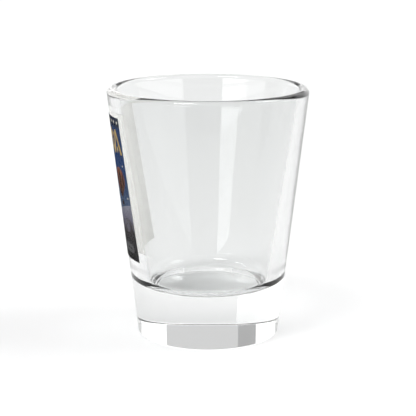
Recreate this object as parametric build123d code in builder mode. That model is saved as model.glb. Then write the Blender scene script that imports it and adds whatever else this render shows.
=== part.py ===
from build123d import *

import os
from math import cos, radians, sin, tan

# Souvenir shot glass: a tapered tumbler with a thick solid foot, and a picture panel printed
# on its front. Millimetres, +Z up, origin at the centre of the flat underside, and the
# printed panel faces -Y. The print is a stack of thin films bonded to the outside of the
# glass: a white base, then one film for each ink, side by side, then a clear cover coat.

# Tumbler
HEIGHT = 60.0
RIM_RADIUS = 24.0
LIP_RADIUS = 1.2  # the lip is a full round, so the wall just under it is twice this thick
OUTER_LEAN = 6.6  # degrees from upright
INNER_LEAN = 8.8  # more than the outside, so the wall thickens towards the foot
FLOOR_HEIGHT = 12.5  # solid glass under the drink
FLOOR_CORNER_RADIUS = 3.0
FOOT_EDGE_RADIUS = 0.4

# Printed panel, trimmed by two level cuts and two upright ones
PANEL_BOTTOM = 19.7
PANEL_TOP = 54.1
PANEL_HALF_WIDTH = 10.7
FILM = 0.05  # thickness of the base, of each ink and of the cover coat

# Picture, as places across the panel and heights above the table
HEADER_HEIGHT = 2.2
HEADER_MARKS = 11
FRIEZE_BOTTOM = 45.4
FRIEZE_TOP = 51.2
FRIEZE_PEAKS = 5
FRIEZE_HALF_WIDTH = 9.9
FRIEZE_STROKE = 0.8
FRIEZE_DROP = 4.7  # from the tip of a peak to the lozenge under it
FRIEZE_LOZENGE = (1.0, 1.8)
SMALL_LOZENGE = (0.7, 0.9)
MOON_CENTRE = (-6.2, 40.2)
MOON_RADIUS = 1.7
STAR_RADIUS = 0.22
STARS = (
    (-9.1, 36.6),
    (-8.8, 43.0),
    (-3.9, 37.4),
    (-3.2, 42.6),
    (-1.2, 35.6),
    (0.4, 40.4),
    (2.6, 43.3),
    (3.1, 36.0),
    (9.5, 42.7),
    (9.9, 35.1),
)
BALLOON_CENTRE = (6.7, 39.2)
BALLOON_RADIUS = 2.8
BALLOON_MOUTH_DROP = 4.2  # from the centre of the round top to the mouth
BALLOON_MOUTH_WIDTH = 1.1
GORE_HALF_WIDTHS = (0.75, 0.4)
GORE_OFFSET = 1.9
BASKET_DROP = 5.7
BASKET_SIZE = (1.3, 1.1)
ROPE_WIDTH = 0.2
ROPE_SPACING = 0.9
FAR_RIDGE = (
    (-10.7, 32.4),
    (-8.2, 33.9),
    (-6.1, 32.2),
    (-3.4, 34.4),
    (-0.8, 31.9),
    (1.8, 33.0),
    (4.0, 31.8),
    (10.7, 33.6),
)
MIDDLE_RIDGE = (
    (-10.7, 29.0),
    (-7.4, 30.3),
    (-3.8, 28.6),
    (0.6, 30.6),
    (4.8, 28.9),
    (8.2, 30.2),
    (10.7, 29.2),
)
NEAR_RIDGE = (
    (-10.7, 26.4),
    (-6.9, 27.8),
    (-2.6, 26.2),
    (2.2, 27.4),
    (6.8, 26.3),
    (10.7, 27.5),
)
PINE_FOOT = 26.0
PINE_HALF_WIDTH = 0.75
PINES = ((-9.2, 4.1), (-7.6, 3.1), (-3.4, 3.0), (4.6, 3.2), (6.4, 2.6), (9.4, 4.2))  # place, height
BADGE_CENTRE = (6.6, 22.6)
BADGE_SIZE = (5.6, 2.1)
BADGE_MARKS = 3

outer_lean = radians(OUTER_LEAN)
inner_lean = radians(INNER_LEAN)
lip_centre = (RIM_RADIUS - LIP_RADIUS, HEIGHT - LIP_RADIUS)
outer_tangent = (
    lip_centre[0] + LIP_RADIUS * cos(outer_lean),
    lip_centre[1] - LIP_RADIUS * sin(outer_lean),
)
inner_tangent = (
    lip_centre[0] - LIP_RADIUS * cos(inner_lean),
    lip_centre[1] + LIP_RADIUS * sin(inner_lean),
)


def outer_radius(height):
    """Radius of the tapered outside at a height."""
    return outer_tangent[0] - (outer_tangent[1] - height) * tan(outer_lean)


def inner_radius(height):
    """Radius of the tapered inside at a height."""
    return inner_tangent[0] - (inner_tangent[1] - height) * tan(inner_lean)


# Outlines of the picture. Each one adds its shape to the open sketch, or takes it away.


def panel(mode=Mode.ADD):
    with Locations((0, (PANEL_BOTTOM + PANEL_TOP) / 2)):
        Rectangle(2 * PANEL_HALF_WIDTH, PANEL_TOP - PANEL_BOTTOM, mode=mode)


def lozenge(size, mode=Mode.ADD):
    half_width = size[0] / 2
    half_height = size[1] / 2
    Polygon(
        (half_width, 0), (0, half_height), (-half_width, 0), (0, -half_height), mode=mode
    )


def header(mode=Mode.ADD):
    with Locations((0, PANEL_TOP - HEADER_HEIGHT / 2)):
        Rectangle(2 * PANEL_HALF_WIDTH, HEADER_HEIGHT, mode=mode)


def header_marks(mode=Mode.ADD):
    with Locations((0, PANEL_TOP - HEADER_HEIGHT / 2)):
        with GridLocations(2 * PANEL_HALF_WIDTH / HEADER_MARKS, 1, HEADER_MARKS, 1):
            lozenge(SMALL_LOZENGE, mode)


def frieze(mode=Mode.ADD):
    """A zigzag of slanting strokes, with a lozenge under each peak and over each valley."""
    half_pitch = FRIEZE_HALF_WIDTH / FRIEZE_PEAKS
    turns = [
        ((n - FRIEZE_PEAKS) * half_pitch, FRIEZE_TOP if n % 2 else FRIEZE_BOTTOM)
        for n in range(2 * FRIEZE_PEAKS + 1)
    ]
    half_stroke = FRIEZE_STROKE / 2
    for start, end in zip(turns, turns[1:]):
        Polygon(
            (start[0] - half_stroke, start[1]),
            (start[0] + half_stroke, start[1]),
            (end[0] + half_stroke, end[1]),
            (end[0] - half_stroke, end[1]),
            align=None,
            mode=mode,
        )
    for place, height in turns[1:-1]:
        drop = FRIEZE_DROP if height == FRIEZE_TOP else -FRIEZE_DROP
        with Locations((place, height - drop)):
            lozenge(FRIEZE_LOZENGE, mode)


def moon(mode=Mode.ADD):
    place, height = MOON_CENTRE
    tips = [(place + 0.3 * MOON_RADIUS, height + side * 0.95 * MOON_RADIUS) for side in (1, -1)]
    with BuildLine() as outline:
        ThreePointArc(tips[0], (place - MOON_RADIUS, height), tips[1])
        ThreePointArc(tips[0], (place - 0.3 * MOON_RADIUS, height), tips[1])
    make_face(outline.edges(), mode=mode)


def stars(mode=Mode.ADD):
    with Locations(*STARS):
        Circle(STAR_RADIUS, mode=mode)


def balloon(mode=Mode.ADD):
    mouth_height = BALLOON_CENTRE[1] - BALLOON_MOUTH_DROP
    with BuildLine() as outline:
        CenterArc(BALLOON_CENTRE, BALLOON_RADIUS, 0, 360)
        Line(
            (BALLOON_CENTRE[0] - BALLOON_MOUTH_WIDTH / 2, mouth_height),
            (BALLOON_CENTRE[0] + BALLOON_MOUTH_WIDTH / 2, mouth_height),
        )
    make_hull(outline.edges(), mode=mode)


def gores(mode=Mode.ADD):
    """Three dark gores inside the balloon, the middle one the widest."""
    with Locations(BALLOON_CENTRE):
        Ellipse(GORE_HALF_WIDTHS[0], 0.94 * BALLOON_RADIUS, mode=mode)
        with GridLocations(2 * GORE_OFFSET, 1, 2, 1):
            Ellipse(GORE_HALF_WIDTHS[1], 0.6 * BALLOON_RADIUS, mode=mode)


def basket(mode=Mode.ADD):
    rope_top = BALLOON_CENTRE[1] - BALLOON_MOUTH_DROP
    basket_top = BALLOON_CENTRE[1] - BASKET_DROP + BASKET_SIZE[1] / 2
    with Locations((BALLOON_CENTRE[0], BALLOON_CENTRE[1] - BASKET_DROP)):
        Rectangle(*BASKET_SIZE, mode=mode)
    with Locations((BALLOON_CENTRE[0], (rope_top + basket_top) / 2)):
        with GridLocations(ROPE_SPACING, 1, 2, 1):
            Rectangle(ROPE_WIDTH, rope_top - basket_top, mode=mode)


def hills(ridge, mode=Mode.ADD):
    """Everything under a ridge line, down to the bottom of the panel."""
    Polygon(
        (-PANEL_HALF_WIDTH, PANEL_BOTTOM),
        (PANEL_HALF_WIDTH, PANEL_BOTTOM),
        *reversed(ridge),
        align=None,
        mode=mode,
    )


def near_ground(mode=Mode.ADD):
    hills(NEAR_RIDGE, mode)
    for place, height in PINES:
        Polygon(
            (place - PINE_HALF_WIDTH, PINE_FOOT),
            (place + PINE_HALF_WIDTH, PINE_FOOT),
            (place, PINE_FOOT + height),
            align=None,
            mode=mode,
        )


def badge(mode=Mode.ADD):
    with Locations(BADGE_CENTRE):
        SlotOverall(*BADGE_SIZE, mode=mode)


def badge_marks(mode=Mode.ADD):
    with Locations(BADGE_CENTRE):
        with GridLocations(BADGE_SIZE[0] / (BADGE_MARKS + 1), 1, BADGE_MARKS, 1):
            lozenge(SMALL_LOZENGE, mode)


def film(layer):
    """A tapered ring round the whole glass: layer 0 touches it, and each other the one inside."""
    corners = [
        (outer_radius(height) + step * FILM / cos(outer_lean), height)
        for height, step in (
            (PANEL_BOTTOM, layer),
            (PANEL_BOTTOM, layer + 1),
            (PANEL_TOP, layer + 1),
            (PANEL_TOP, layer),
        )
    ]
    with BuildPart() as ring:
        with BuildSketch(Plane.XZ):
            Polygon(*corners, align=None)
        revolve(axis=Axis.Z)
    return ring.part


def wrap(layer):
    """Pushes the sketch just drawn out towards -Y, and keeps what lies in one layer of film."""
    extrude(amount=RIM_RADIUS)
    add(film(layer), mode=Mode.INTERSECT)


# Pieces

with BuildPart() as glass_body:
    with BuildSketch(Plane.XZ) as profile:
        with BuildLine():
            Polyline((0, FLOOR_HEIGHT), (0, 0), (outer_radius(0), 0), outer_tangent)
            ThreePointArc(outer_tangent, (lip_centre[0], HEIGHT), inner_tangent)
            Polyline(inner_tangent, (inner_radius(FLOOR_HEIGHT), FLOOR_HEIGHT), (0, FLOOR_HEIGHT))
        make_face()
        foot_edge = profile.vertices().group_by(Axis.Y)[0].sort_by(Axis.X)[-1]
        fillet(foot_edge, FOOT_EDGE_RADIUS)
        floor_corner = profile.vertices().sort_by_distance((inner_radius(FLOOR_HEIGHT), FLOOR_HEIGHT))[0]
        fillet(floor_corner, FLOOR_CORNER_RADIUS)
    revolve(axis=Axis.Z)

with BuildPart() as white_base:
    with BuildSketch(Plane.XZ):
        panel()
    wrap(0)

with BuildPart() as ink_navy:
    with BuildSketch(Plane.XZ):
        header()
        header_marks(Mode.SUBTRACT)
    wrap(1)

with BuildPart() as ink_blue:
    with BuildSketch(Plane.XZ):
        panel()
        header(Mode.SUBTRACT)
        frieze(Mode.SUBTRACT)
        moon(Mode.SUBTRACT)
        stars(Mode.SUBTRACT)
        balloon(Mode.SUBTRACT)
        basket(Mode.SUBTRACT)
        hills(FAR_RIDGE, Mode.SUBTRACT)
    wrap(1)

with BuildPart() as ink_pale:
    with BuildSketch(Plane.XZ):
        header_marks()
        moon()
        stars()
    wrap(1)

with BuildPart() as ink_gold:
    with BuildSketch(Plane.XZ):
        frieze()
    wrap(1)

with BuildPart() as ink_orange:
    with BuildSketch(Plane.XZ):
        balloon()
        gores(Mode.SUBTRACT)
    wrap(1)

with BuildPart() as ink_brown:
    with BuildSketch(Plane.XZ):
        gores()
        basket()
    wrap(1)

with BuildPart() as ink_violet:
    with BuildSketch(Plane.XZ):
        hills(FAR_RIDGE)
        basket(Mode.SUBTRACT)
        hills(MIDDLE_RIDGE, Mode.SUBTRACT)
    wrap(1)

with BuildPart() as ink_taupe:
    with BuildSketch(Plane.XZ):
        hills(MIDDLE_RIDGE)
        near_ground(Mode.SUBTRACT)
    wrap(1)

with BuildPart() as ink_charcoal:
    with BuildSketch(Plane.XZ):
        near_ground()
        badge(Mode.SUBTRACT)
        badge_marks()
    wrap(1)

with BuildPart() as ink_grey:
    with BuildSketch(Plane.XZ):
        badge()
        badge_marks(Mode.SUBTRACT)
    wrap(1)

with BuildPart() as clear_coat:
    with BuildSketch(Plane.XZ):
        panel()
    wrap(2)

# Labels and files

os.makedirs("parts", exist_ok=True)

glass_body.part.label = "glass_body"
export_step(glass_body.part, "parts/glass_body.step")

white_base.part.label = "white_base"
export_step(white_base.part, "parts/white_base.step")

ink_navy.part.label = "ink_navy"
export_step(ink_navy.part, "parts/ink_navy.step")

ink_blue.part.label = "ink_blue"
export_step(ink_blue.part, "parts/ink_blue.step")

ink_pale.part.label = "ink_pale"
export_step(ink_pale.part, "parts/ink_pale.step")

ink_gold.part.label = "ink_gold"
export_step(ink_gold.part, "parts/ink_gold.step")

ink_orange.part.label = "ink_orange"
export_step(ink_orange.part, "parts/ink_orange.step")

ink_brown.part.label = "ink_brown"
export_step(ink_brown.part, "parts/ink_brown.step")

ink_violet.part.label = "ink_violet"
export_step(ink_violet.part, "parts/ink_violet.step")

ink_taupe.part.label = "ink_taupe"
export_step(ink_taupe.part, "parts/ink_taupe.step")

ink_charcoal.part.label = "ink_charcoal"
export_step(ink_charcoal.part, "parts/ink_charcoal.step")

ink_grey.part.label = "ink_grey"
export_step(ink_grey.part, "parts/ink_grey.step")

clear_coat.part.label = "clear_coat"
export_step(clear_coat.part, "parts/clear_coat.step")
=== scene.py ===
from math import cos, pi, radians, sin, tan

import bpy
from bpy.props import FloatProperty, FloatVectorProperty, IntProperty, PointerProperty
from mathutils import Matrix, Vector


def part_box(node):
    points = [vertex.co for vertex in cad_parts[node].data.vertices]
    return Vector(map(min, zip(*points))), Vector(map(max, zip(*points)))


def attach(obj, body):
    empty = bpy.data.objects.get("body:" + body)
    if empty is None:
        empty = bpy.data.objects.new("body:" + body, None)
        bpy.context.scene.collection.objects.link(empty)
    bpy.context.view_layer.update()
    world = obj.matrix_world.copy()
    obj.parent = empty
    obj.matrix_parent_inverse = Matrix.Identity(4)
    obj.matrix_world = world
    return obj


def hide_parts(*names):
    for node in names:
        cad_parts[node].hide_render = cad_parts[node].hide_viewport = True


bl_info = {
    "name": "Shot Glass",
    "version": (1, 0, 0),
    "blender": (4, 5, 0),
    "location": "View3D > Sidebar > Shot Glass",
    "description": "Builds a souvenir shot glass: a thick-footed tumbler with a printed panel",
    "category": "Add Mesh",
}

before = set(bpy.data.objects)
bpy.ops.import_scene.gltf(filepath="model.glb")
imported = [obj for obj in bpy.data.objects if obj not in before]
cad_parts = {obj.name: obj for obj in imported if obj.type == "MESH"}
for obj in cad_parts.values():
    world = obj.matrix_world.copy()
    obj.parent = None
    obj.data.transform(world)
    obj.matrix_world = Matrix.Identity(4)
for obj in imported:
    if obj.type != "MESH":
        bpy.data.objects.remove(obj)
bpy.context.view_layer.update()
glass_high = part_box("glass_body")[1]
base_low, base_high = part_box("white_base")

MM = 0.001
SHADOW_FACE_ON = (0.72, 0.725, 0.725)  # what a surface of glass lets by of a light, met squarely
SHADOW_EDGE_ON = (0.35, 0.355, 0.36)  # and met along its edge
COAT_GLOSS = 0.012  # share of the clear coat that mirrors


# ---------------------------------------------------------------- settings


def length(name, description, default):
    return FloatProperty(
        name=name, description=description, default=default, min=0.0, unit="LENGTH", precision=5
    )


def angle(name, description, degrees):
    return FloatProperty(
        name=name, description=description, default=radians(degrees), subtype="ANGLE"
    )


def colour(name, description, default):
    return FloatVectorProperty(
        name=name,
        description=description,
        default=default,
        size=3,
        min=0.0,
        max=1.0,
        subtype="COLOR",
    )


class ShotGlassTumbler(bpy.types.PropertyGroup):
    """Sizes of the glass itself"""

    height: length("Height", "From the table to the top of the rim", glass_high[2])
    rim_radius: length("Rim radius", "From the axis to the widest point of the rim", 24 * MM)
    lip_radius: length("Lip radius", "Radius of the rounded rim", 1.2 * MM)
    outer_lean: angle("Outer lean", "How far the outside leans out from upright", 6.6)
    inner_lean: angle("Inner lean", "How far the inside leans out from upright", 8.8)
    floor_height: length("Floor height", "Solid glass under the drink", 12.5 * MM)
    floor_corner: length("Floor corner", "Radius between the floor and the inner wall", 3 * MM)
    foot_edge: length("Foot edge", "Radius of the lower outer edge", 0.4 * MM)
    segments: IntProperty(
        name="Segments", description="Facets round the glass", default=288, min=24, max=1024
    )
    # Grey tints of the glass, deeper at the rim than at the foot: painted shade that dims all seen
    # through the wall
    painted_shade_low: colour("Low tint", "What the wall lets through at the foot", (0.885, 0.892, 0.89))
    painted_shade_high: colour("High tint", "What the wall lets through at the rim", (0.825, 0.834, 0.832))
    ior: FloatProperty(
        name="Index of refraction", description="How strongly the glass bends light", default=1.42
    )


class ShotGlassPrint(bpy.types.PropertyGroup):
    """Sizes of the printed panel's films"""

    bottom: length("Bottom", "Height of the panel's lower edge", base_low[2])
    top: length("Top", "Height of the panel's upper edge", base_high[2])
    half_width: length("Half width", "From the panel's middle to its upright edges", base_high[0])
    film: length("Film", "Thickness of each film", 0.05 * MM)
    bite: length("Bite", "How far the white base sits into the glass, so no air shows", 0.02 * MM)
    clearance: length("Clearance", "Gap left between one film and the next", 0.01 * MM)
    columns: IntProperty(name="Columns", description="Facets across a film", default=64, min=8)
    rows: IntProperty(name="Rows", description="Facets up a film", default=24, min=2)


class ShotGlassColours(bpy.types.PropertyGroup):
    """Colours of the inks"""

    white: colour("White base", "Opaque white under the picture", (0.95, 0.94, 0.91))
    navy: colour("Navy", "Header band", (0.012, 0.018, 0.04))
    night: colour("Night", "Top of the sky", (0.010, 0.026, 0.085))
    blue: colour("Blue", "Middle of the sky", (0.006, 0.028, 0.105))
    dusk: colour("Dusk", "Foot of the sky", (0.05, 0.075, 0.125))
    pale: colour("Pale", "Moon, stars and small marks", (0.66, 0.63, 0.54))
    gold: colour("Gold", "Zigzag frieze", (0.46, 0.30, 0.04))
    orange: colour("Orange", "Balloon", (0.22, 0.075, 0.035))
    brown: colour("Brown", "Balloon's dark gores and its basket", (0.018, 0.007, 0.006))
    haze: colour("Haze", "Tops of the far hills", (0.22, 0.22, 0.27))
    violet: colour("Violet", "Foot of the far hills", (0.09, 0.088, 0.13))
    taupe: colour("Taupe", "Middle hills", (0.085, 0.077, 0.082))
    dark: colour("Dark", "Tops of the near hills", (0.035, 0.032, 0.034))
    charcoal: colour("Charcoal", "Near ground and pines", (0.006, 0.0056, 0.006))
    grey: colour("Grey", "Badge", (0.09, 0.09, 0.095))


class ShotGlassStage(bpy.types.PropertyGroup):
    """Floor, lights and camera"""

    floor_radius: length("Floor radius", "Size of the round floor", 2.7)
    floor_gap: length("Floor gap", "Thin layer of air that stays under the foot", 0.05 * MM)
    floor_colour: colour("Floor", "Plain pale floor", (0.9, 0.9, 0.9))
    room_light: FloatProperty(
        name="Room light", description="Brightness of the room round the set", default=0.745
    )
    camera_distance: length("Camera distance", "From the glass's axis, along the floor", 0.2983)
    camera_height: length("Camera height", "Above the floor", 0.1026)
    camera_pitch: angle("Camera pitch", "How far the camera looks down", 13.61)
    camera_turn: angle("Camera turn", "How far the camera stands round towards the panel", 1.2)
    lens: FloatProperty(name="Lens", description="Focal length in millimetres", default=109.6)


class ShotGlassSettings(bpy.types.PropertyGroup):
    """Everything a user can change"""

    tumbler: PointerProperty(type=ShotGlassTumbler)
    panel: PointerProperty(type=ShotGlassPrint)
    colours: PointerProperty(type=ShotGlassColours)
    stage: PointerProperty(type=ShotGlassStage)


# ---------------------------------------------------------------- profile of the glass


def outer_line(tumbler):
    """Where the rounded lip meets the outer wall, and how fast that wall widens."""
    lean = tumbler.outer_lean
    radius = tumbler.rim_radius - tumbler.lip_radius + tumbler.lip_radius * cos(lean)
    height = tumbler.height - tumbler.lip_radius - tumbler.lip_radius * sin(lean)
    return radius, height, tan(lean)


def inner_line(tumbler):
    """Where the rounded lip meets the inner wall, and how fast that wall widens."""
    lean = tumbler.inner_lean
    radius = tumbler.rim_radius - tumbler.lip_radius - tumbler.lip_radius * cos(lean)
    height = tumbler.height - tumbler.lip_radius + tumbler.lip_radius * sin(lean)
    return radius, height, tan(lean)


def radius_at(line, height):
    radius, top, slope = line
    return radius - (top - height) * slope


def arc(centre, radius, start, end, steps, side=1):
    """Points of an arc with their normals, as (radius, height, normal out, normal up)."""
    points = []
    for step in range(steps + 1):
        turn = start + (end - start) * step / steps
        points.append((
            centre[0] + radius * cos(turn),
            centre[1] + radius * sin(turn),
            side * cos(turn),
            side * sin(turn),
        ))
    return points


def straight(start, end, steps):
    """Points between a wall's two ends, without the ends, with the first end's normal."""
    points = []
    for step in range(1, steps):
        share = step / steps
        points.append((
            start[0] + (end[0] - start[0]) * share,
            start[1] + (end[1] - start[1]) * share,
            start[2],
            start[3],
        ))
    return points


def tumbler_profile(tumbler):
    """The whole outline from the middle of the underside, out, up, over the lip and down inside."""
    outer = outer_line(tumbler)
    inner = inner_line(tumbler)
    outer_lean = tumbler.outer_lean
    inner_lean = tumbler.inner_lean

    edge = tumbler.foot_edge
    edge_radius = radius_at(outer, edge) - edge / cos(outer_lean)
    foot = arc((edge_radius, edge), edge, -pi / 2, -outer_lean, 10)

    lip_centre = (tumbler.rim_radius - tumbler.lip_radius, tumbler.height - tumbler.lip_radius)
    lip = arc(lip_centre, tumbler.lip_radius, -outer_lean, pi - inner_lean, 28)

    corner = tumbler.floor_corner
    corner_height = tumbler.floor_height + corner
    corner_centre = (radius_at(inner, corner_height) - corner / cos(inner_lean), corner_height)
    bowl = arc(corner_centre, corner, -inner_lean, -pi / 2, 20, side=-1)

    underside = [(0.0, 0.0, 0.0, -1.0), (foot[0][0] / 2, 0.0, 0.0, -1.0)]
    floor = [
        (bowl[-1][0] / 2, tumbler.floor_height, 0.0, 1.0),
        (0.0, tumbler.floor_height, 0.0, 1.0),
    ]
    return (
        underside
        + foot
        + straight(foot[-1], lip[0], 12)
        + lip
        + straight(lip[-1], bowl[0], 12)
        + bowl
        + floor
    )


# ---------------------------------------------------------------- meshes


def mesh_object(name, vertices, faces, normals, material):
    """A smooth mesh with its exact normals, linked to the scene."""
    mesh = bpy.data.meshes.new(name)
    mesh.from_pydata(vertices, [], faces)
    mesh.polygons.foreach_set("use_smooth", [True] * len(mesh.polygons))
    mesh.materials.append(material)
    mesh.update()
    mesh.normals_split_custom_set_from_vertices(normals)
    thing = bpy.data.objects.new(name, mesh)
    bpy.context.scene.collection.objects.link(thing)
    return thing


def lathe(name, profile, segments, material):
    """Turns a profile that starts and ends on the axis into a closed mesh."""
    vertices = [(0.0, 0.0, profile[0][1]), (0.0, 0.0, profile[-1][1])]
    normals = [(0.0, 0.0, profile[0][3]), (0.0, 0.0, profile[-1][3])]
    rings = profile[1:-1]
    for radius, height, out, up in rings:
        for segment in range(segments):
            turn = 2 * pi * segment / segments
            vertices.append((radius * cos(turn), radius * sin(turn), height))
            normals.append((out * cos(turn), out * sin(turn), up))
    faces = []
    last = 2 + (len(rings) - 1) * segments
    for segment in range(segments):
        after = (segment + 1) % segments
        faces.append((0, 2 + after, 2 + segment))
        faces.append((1, last + segment, last + after))
        for ring in range(len(rings) - 1):
            low = 2 + ring * segments
            high = low + segments
            faces.append((low + segment, low + after, high + after, high + segment))
    return mesh_object(name, vertices, faces, normals, material)


def film_mesh(name, settings, inside, outside, material):
    """A film over the whole panel, between two distances out from the wall of the glass."""
    panel = settings.panel
    tumbler = settings.tumbler
    line = outer_line(tumbler)
    lean = tumbler.outer_lean
    columns = panel.columns
    rows = panel.rows
    vertices = []
    normals = []
    for side, distance in ((-1, inside), (1, outside)):
        for row in range(rows + 1):
            height = panel.bottom + (panel.top - panel.bottom) * row / rows
            radius = radius_at(line, height) + distance / cos(lean)
            for column in range(columns + 1):
                across = panel.half_width * (2 * column / columns - 1)
                depth = (radius ** 2 - across ** 2) ** 0.5
                vertices.append((across, -depth, height))
                level = cos(lean) / radius
                normals.append(Vector((across * level, -depth * level, -sin(lean))) * side)
    width = columns + 1
    sheet = width * (rows + 1)
    faces = []
    for row in range(rows):
        for column in range(columns):
            a = row * width + column
            b = a + 1
            c = b + width
            d = a + width
            faces.append((d, c, b, a))
            faces.append((sheet + a, sheet + b, sheet + c, sheet + d))
    rim = (
        [column for column in range(width)]
        + [row * width + columns for row in range(1, rows + 1)]
        + [rows * width + column for column in range(columns - 1, -1, -1)]
        + [row * width for row in range(rows - 1, 0, -1)]
    )
    for here, there in zip(rim, rim[1:] + rim[:1]):
        faces.append((here, there, sheet + there, sheet + here))
    return mesh_object(name, vertices, faces, normals, material)


# ---------------------------------------------------------------- material parts


class Nodes:
    """A material's node tree, with short ways to add and join nodes."""

    def __init__(self, name):
        self.material = bpy.data.materials.new(name)
        self.material.use_nodes = True
        self.tree = self.material.node_tree
        self.tree.nodes.clear()

    def add(self, kind, settings=None, **sockets):
        node = self.tree.nodes.new(kind)
        for key, value in (settings or {}).items():
            setattr(node, key, value)
        for key, value in sockets.items():
            self.feed(node.inputs[key.replace("_", " ")], value)
        return node

    def feed(self, socket, value):
        if isinstance(value, bpy.types.NodeSocket):
            self.tree.links.new(value, socket)
        elif isinstance(value, (tuple, list)) and len(value) == 3 and socket.type == "RGBA":
            socket.default_value = (*value, 1.0)
        else:
            socket.default_value = value

    def place(self):
        """Object coordinates, in metres."""
        return self.add("ShaderNodeTexCoord").outputs["Object"]

    def noise(self, size, detail=3.0, roughness=0.55, stretch=(1, 1, 1)):
        """Soft noise from 0 to 1 whose features are about size metres across."""
        mapping = self.add("ShaderNodeMapping", Vector=self.place(), Scale=Vector(stretch))
        return self.add(
            "ShaderNodeTexNoise",
            Vector=mapping.outputs["Vector"],
            Scale=1 / size,
            Detail=detail,
            Roughness=roughness,
        ).outputs["Fac"]

    def spread(self, value, low, high, from_low=0.0, from_high=1.0):
        return self.add(
            "ShaderNodeMapRange",
            Value=value,
            From_Min=from_low,
            From_Max=from_high,
            To_Min=low,
            To_Max=high,
        ).outputs["Result"]

    def mix(self, factor, first, second, blend="MIX"):
        node = self.add("ShaderNodeMix", {"data_type": "RGBA", "blend_type": blend})
        self.feed(node.inputs[0], factor)
        self.feed(node.inputs[6], first)
        self.feed(node.inputs[7], second)
        return node.outputs[2]

    def maths(self, operation, first, second):
        node = self.add("ShaderNodeMath", {"operation": operation})
        self.feed(node.inputs[0], first)
        self.feed(node.inputs[1], second)
        return node.outputs[0]

    def bump(self, height, strength, distance):
        return self.add(
            "ShaderNodeBump", Height=height, Strength=strength, Distance=distance
        ).outputs["Normal"]

    def finish(self, shader):
        output = self.add("ShaderNodeOutputMaterial")
        self.feed(output.inputs["Surface"], shader)
        return self.material


def height_share(nodes, low, high):
    """0 at one height and 1 at another, along the glass's axis."""
    axes = nodes.add("ShaderNodeSeparateXYZ", Vector=nodes.place())
    return nodes.spread(axes.outputs["Z"], 0.0, 1.0, low, high)


def clear_glass(settings):
    """Pressed, fire-polished glass: clear, with the faint waviness that the mould leaves, under a
    grey tint, deeper towards the rim, that paints shade on all seen through it.
    """
    tumbler = settings.tumbler
    nodes = Nodes("clear_glass")
    waves = nodes.noise(6 * MM, detail=1.0, stretch=(1, 1, 0.35))
    height = height_share(nodes, tumbler.floor_height, tumbler.height)
    # Painted shade: a grey tint over all seen through the glass, deeper towards the rim
    painted_shade = nodes.mix(height, tuple(tumbler.painted_shade_low), tuple(tumbler.painted_shade_high))
    glass = nodes.add(
        "ShaderNodeBsdfPrincipled",
        Base_Color=painted_shade,
        Roughness=0.0,
        IOR=tumbler.ior,
        Transmission_Weight=1.0,
        Normal=nodes.bump(waves, 0.05, 0.02 * MM),
    )
    edge = nodes.add("ShaderNodeLayerWeight", Blend=0.35).outputs["Facing"]
    passed = nodes.mix(edge, SHADOW_FACE_ON, SHADOW_EDGE_ON)
    lets_light_by = nodes.add("ShaderNodeBsdfTransparent", Color=passed)
    paths = nodes.add("ShaderNodeLightPath")
    either = nodes.add("ShaderNodeMixShader", Fac=paths.outputs["Is Shadow Ray"])
    nodes.feed(either.inputs[1], glass.outputs[0])
    nodes.feed(either.inputs[2], lets_light_by.outputs[0])
    return nodes.finish(either.outputs[0])


def print_white(settings):
    """Opaque white film, a little warm, with the uneven cover of a screened ground."""
    nodes = Nodes("print_white")
    patches = nodes.spread(nodes.noise(1.2 * MM), 0.93, 1.03, 0.3, 0.7)
    body = nodes.mix(1.0, tuple(settings.colours.white), patches, "MULTIPLY")
    paint = nodes.add(
        "ShaderNodeBsdfPrincipled",
        Base_Color=body,
        Roughness=nodes.spread(nodes.noise(0.3 * MM), 0.42, 0.58),
        Normal=nodes.bump(nodes.noise(0.25 * MM), 0.15, 0.01 * MM),
    )
    return nodes.finish(paint.outputs[0])


def cover_coat():
    """Clear gloss over the picture, with a fine orange-peel skin."""
    nodes = Nodes("cover_coat")
    skin = nodes.bump(nodes.noise(0.7 * MM, detail=2.0), 0.12, 0.02 * MM)
    shine = nodes.add(
        "ShaderNodeBsdfGlossy",
        Color=(1.0, 1.0, 1.0),
        Roughness=nodes.spread(nodes.noise(2.5 * MM), 0.06, 0.12),
        Normal=skin,
    )
    clear = nodes.add("ShaderNodeBsdfTransparent", Color=(0.99, 0.99, 0.985))
    either = nodes.add("ShaderNodeMixShader", Fac=COAT_GLOSS)
    nodes.feed(either.inputs[1], clear.outputs[0])
    nodes.feed(either.inputs[2], shine.outputs[0])
    return nodes.finish(either.outputs[0])


def ink(name, body, metal=0.0, roughness=(0.38, 0.52)):
    """Finishes an ink: body is a function that takes the nodes and returns the ink's colour."""
    nodes = Nodes(name)
    paint = body(nodes)
    dots = nodes.add(
        "ShaderNodeTexVoronoi",
        {"feature": "F1"},
        Vector=nodes.place(),
        Scale=1 / (0.16 * MM),
        Randomness=0.25,
    ).outputs["Distance"]
    screened = nodes.mix(1.0, paint, nodes.spread(dots, 1.07, 0.86, 0.1, 0.6), "MULTIPLY")
    cover = nodes.spread(nodes.noise(0.9 * MM), 0.92, 1.06, 0.3, 0.7)
    screened = nodes.mix(1.0, screened, cover, "MULTIPLY")
    surface = nodes.add(
        "ShaderNodeBsdfPrincipled",
        Base_Color=screened,
        Metallic=metal,
        Specular_IOR_Level=0.0,
        Roughness=nodes.spread(nodes.noise(0.4 * MM), *roughness),
        Normal=nodes.bump(dots, 0.1, 0.008 * MM),
    )
    return nodes.finish(surface.outputs[0])


# ---------------------------------------------------------------- operators


class SHOTGLASS_OT_tumbler(bpy.types.Operator):
    """Turns the glass: rounded rim, tapered wall and thick solid foot"""

    bl_idname = "shotglass.tumbler"
    bl_label = "Tumbler"

    def execute(self, context):
        settings = context.scene.shot_glass
        tumbler = settings.tumbler
        glass = lathe(
            "tumbler", tumbler_profile(tumbler), tumbler.segments, clear_glass(settings)
        )
        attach(glass, "root")
        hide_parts("glass_body")
        return {"FINISHED"}


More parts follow.
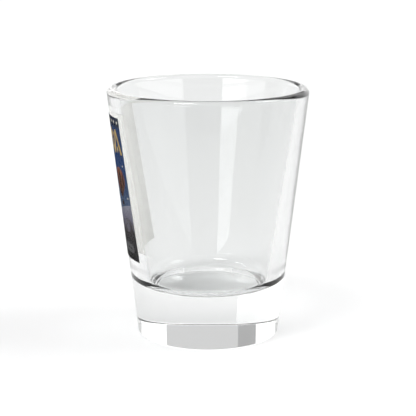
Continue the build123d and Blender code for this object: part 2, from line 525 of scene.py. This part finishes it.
class SHOTGLASS_OT_films(bpy.types.Operator):
    """Lays the white base on the glass and the clear coat over the picture"""

    bl_idname = "shotglass.films"
    bl_label = "White base and clear coat"

    def execute(self, context):
        settings = context.scene.shot_glass
        panel = settings.panel
        base = film_mesh(
            "panel_base",
            settings,
            -panel.bite,
            panel.film - panel.clearance,
            print_white(settings),
        )
        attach(base, "root")
        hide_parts("white_base")
        coat = film_mesh(
            "panel_coat", settings, 2 * panel.film + panel.clearance, 3 * panel.film, cover_coat()
        )
        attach(coat, "root")
        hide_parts("clear_coat")
        return {"FINISHED"}


class SHOTGLASS_OT_inks(bpy.types.Operator):
    """Gives each ink of the picture its own printed finish"""

    bl_idname = "shotglass.inks"
    bl_label = "Inks"

    def execute(self, context):
        colours = context.scene.shot_glass.colours

        def plain(shade, other=None):
            def body(nodes):
                return nodes.mix(
                    nodes.spread(nodes.noise(1.6 * MM), 0.0, 1.0, 0.35, 0.65),
                    tuple(shade),
                    tuple(other or [0.8 * part for part in shade]),
                )
            return body

        def graded(node, low_shade, high_shade, patch=1.5 * MM, stretch=(1, 1, 3)):
            low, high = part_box(node)

            def body(nodes):
                drift = nodes.spread(nodes.noise(patch, stretch=stretch), -0.28, 0.28)
                share = nodes.maths("ADD", height_share(nodes, low[2], high[2]), drift)
                return nodes.mix(
                    nodes.spread(share, 0.0, 1.0), tuple(low_shade), tuple(high_shade)
                )
            return body

        def sky(nodes):
            low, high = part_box("ink_blue")
            middle = (low[2] + high[2]) / 2
            drift = nodes.spread(nodes.noise(3 * MM, stretch=(1, 1, 3)), -0.2, 0.2)
            upper = nodes.maths("ADD", height_share(nodes, middle, high[2]), drift)
            lower = nodes.maths("ADD", height_share(nodes, low[2], middle), drift)
            top = nodes.mix(
                nodes.spread(upper, 0.0, 1.0), tuple(colours.blue), tuple(colours.night)
            )
            return nodes.mix(nodes.spread(lower, 0.0, 1.0), tuple(colours.dusk), top)

        finishes = {
            "ink_navy": ink("ink_navy", plain(colours.navy)),
            "ink_blue": ink("ink_blue", sky),
            "ink_pale": ink("ink_pale", plain(colours.pale)),
            "ink_gold": ink("ink_gold", plain(colours.gold), metal=0.55, roughness=(0.28, 0.42)),
            "ink_orange": ink("ink_orange", graded("ink_orange", colours.brown, colours.orange)),
            "ink_brown": ink("ink_brown", plain(colours.brown)),
            "ink_violet": ink("ink_violet", graded("ink_violet", colours.violet, colours.haze)),
            "ink_taupe": ink("ink_taupe", plain(colours.taupe, colours.violet)),
            "ink_charcoal": ink(
                "ink_charcoal", graded("ink_charcoal", colours.charcoal, colours.dark)
            ),
            "ink_grey": ink("ink_grey", plain(colours.grey)),
        }
        for node, finish in finishes.items():
            for material_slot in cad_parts[node].material_slots:
                material_slot.material = finish
        return {"FINISHED"}


CARD_DISTANCE = 3.0
# name, start and end clockwise round the glass from straight beyond it, low, high, brightness
CARDS = (
    ("card_far_low", -45, 45, -1, 12.5, 1.6),
    ("card_far_edge", -27, 26, 12.5, 15.5, 2.4),
    ("card_far_dark", -27, -14, 15.5, 24, 0.45),
    ("card_far_grey", -14, 24, 15.5, 24, 0.7),
    ("card_far_right", 24, 60, 12.5, 24, 1.5),
    ("card_far_left", -60, -27, 12.5, 24, 1.8),
    ("card_far_high", -30, 45, 24, 40, 1.7),
    ("card_far_top", -60, 45, 40, 55, 0.8),
    ("card_far_crown", -68, 120, 55, 70, 0.15),
    ("card_right_low", 45, 75, -1, 12.5, 1.1),
    ("card_right", 75, 148, -1, 12.5, 2.4),
    ("card_right_high", 45, 120, 24, 55, 0.15),
    ("card_viewer", 148, 200, -1, 12.5, 0.0),
    ("card_left_front", 200, 232, 0, 8.5, 6.0),
    ("card_left_front_upper", 200, 232, 8.5, 12.5, 3.5),
    ("card_left", 232, 262, -1, 12.5, 2.0),
    ("card_left_high", 199, 262, 12.5, 40, 1.0),
    ("card_left_gap", 262, 284, -1, 9, 0.0),
    ("card_left_far", 300, 333, -1, 12.5, 1.6),
    ("card_crown", 0, 360, 70, 90, 0.2),
)
# name, place as the viewer sees it, size, power, whether the glass bends its light on to the floor
LIGHTS = (
    ("key", (-0.75, -0.87, 2.12), 0.8, 18.0, False),
    ("fill", (1.8, 0.0, 1.8), 1.2, 19.5, True),
    ("fill_far", (1.4, 1.0, 1.8), 1.2, 4.0, True),
)


class SHOTGLASS_OT_stage(bpy.types.Operator):
    """Sets out the pale floor, the soft studio lights and the camera"""

    bl_idname = "shotglass.stage"
    bl_label = "Stage"

    def execute(self, context):
        stage = context.scene.shot_glass.stage
        self.floor(context, stage)
        self.world(context, stage)
        self.cards(context, stage)
        self.lights(context)
        self.camera(context, stage)
        context.scene.view_settings.view_transform = "Standard"
        return {"FINISHED"}

    def floor(self, context, stage):
        nodes = Nodes("floor")
        paper = nodes.add(
            "ShaderNodeBsdfPrincipled", Base_Color=tuple(stage.floor_colour), Roughness=0.9
        )
        material = nodes.finish(paper.outputs[0])
        count = 96
        ring = [2 * pi * step / count for step in range(count)]
        vertices = [
            (stage.floor_radius * cos(turn), stage.floor_radius * sin(turn), -stage.floor_gap)
            for turn in ring
        ]
        mesh = bpy.data.meshes.new("floor")
        mesh.from_pydata(vertices, [], [tuple(range(count))])
        mesh.materials.append(material)
        floor = bpy.data.objects.new("floor", mesh)
        context.scene.collection.objects.link(floor)

    def world(self, context, stage):
        world = bpy.data.worlds.new("studio")
        context.scene.world = world
        world.use_nodes = True
        background = world.node_tree.nodes["Background"]
        background.inputs["Color"].default_value = (1, 1, 1, 1)
        background.inputs["Strength"].default_value = stage.room_light
        seen = world.node_tree.nodes.new("ShaderNodeBackground")
        seen.inputs["Color"].default_value = (1, 1, 1, 1)
        paths = world.node_tree.nodes.new("ShaderNodeLightPath")
        either = world.node_tree.nodes.new("ShaderNodeMixShader")
        links = world.node_tree.links
        links.new(paths.outputs["Is Camera Ray"], either.inputs["Fac"])
        links.new(background.outputs[0], either.inputs[1])
        links.new(seen.outputs[0], either.inputs[2])
        links.new(either.outputs[0], world.node_tree.nodes["World Output"].inputs["Surface"])

    def cards(self, context, stage):
        """Curved cards round the set, which the glass shows as its light and dark bands."""
        for name, start, end, low, high, strength in CARDS:
            nodes = Nodes(name)
            glow = nodes.add("ShaderNodeEmission", Strength=strength)
            material = nodes.finish(glow.outputs[0])
            columns = max(2, round((end - start) / 3))
            rows = 6
            vertices = []
            for row in range(rows + 1):
                up = radians(low + (high - low) * row / rows)
                for column in range(columns + 1):
                    turn = radians(start + (end - start) * column / columns)
                    vertices.append(from_viewer(
                        CARD_DISTANCE * sin(turn) * cos(up),
                        CARD_DISTANCE * cos(turn) * cos(up),
                        CARD_DISTANCE * sin(up),
                    ))
            width = columns + 1
            faces = [
                (row * width + column, row * width + column + 1,
                 (row + 1) * width + column + 1, (row + 1) * width + column)
                for row in range(rows)
                for column in range(columns)
            ]
            mesh = bpy.data.meshes.new(name)
            mesh.from_pydata(vertices, [], faces)
            mesh.materials.append(material)
            card = bpy.data.objects.new(name, mesh)
            card.visible_camera = False
            context.scene.collection.objects.link(card)

    def lights(self, context):
        for name, place, size, power, bent in LIGHTS:
            data = bpy.data.lights.new(name, "AREA")
            data.shape = "DISK"
            data.size = size
            data.energy = power
            light = bpy.data.objects.new(name, data)
            light.location = from_viewer(*place)
            light.rotation_euler = (-Vector(light.location)).to_track_quat("-Z", "Y").to_euler()
            light.visible_transmission = bent
            context.scene.collection.objects.link(light)

    def camera(self, context, stage):
        data = bpy.data.cameras.new("camera")
        data.lens = stage.lens
        data.sensor_width = 36.0
        camera = bpy.data.objects.new("camera", data)
        turn = stage.camera_turn
        camera.location = from_viewer(
            -stage.camera_distance * sin(turn),
            -stage.camera_distance * cos(turn),
            stage.camera_height,
        )
        camera.rotation_euler = (pi / 2 - stage.camera_pitch, 0.0, pi / 2 - turn)
        context.scene.collection.objects.link(camera)
        context.scene.camera = camera


def from_viewer(across, beyond, height):
    """A place given as the viewer sees it: across to the right, beyond the glass, and up.
    The viewer stands on the +X side, with the printed panel to the left."""
    return Vector((-beyond, across, height))


class SHOTGLASS_PT_panel(bpy.types.Panel):
    """Lists the pieces of the shot glass"""

    bl_label = "Shot Glass"
    bl_idname = "SHOTGLASS_PT_panel"
    bl_space_type = "VIEW_3D"
    bl_region_type = "UI"
    bl_category = "Shot Glass"

    def draw(self, context):
        for operator in OPERATORS:
            self.layout.operator(operator.bl_idname)


OPERATORS = (
    SHOTGLASS_OT_tumbler,
    SHOTGLASS_OT_films,
    SHOTGLASS_OT_inks,
    SHOTGLASS_OT_stage,
)

CLASSES = (
    ShotGlassTumbler,
    ShotGlassPrint,
    ShotGlassColours,
    ShotGlassStage,
    ShotGlassSettings,
    *OPERATORS,
    SHOTGLASS_PT_panel,
)


def register():
    for item in CLASSES:
        bpy.utils.register_class(item)
    bpy.types.Scene.shot_glass = PointerProperty(type=ShotGlassSettings)


def unregister():
    del bpy.types.Scene.shot_glass
    for item in reversed(CLASSES):
        bpy.utils.unregister_class(item)


def main():
    register()
    bpy.ops.shotglass.tumbler()
    bpy.ops.shotglass.films()
    bpy.ops.shotglass.inks()
    bpy.ops.shotglass.stage()


if __name__ == "__main__":
    main()
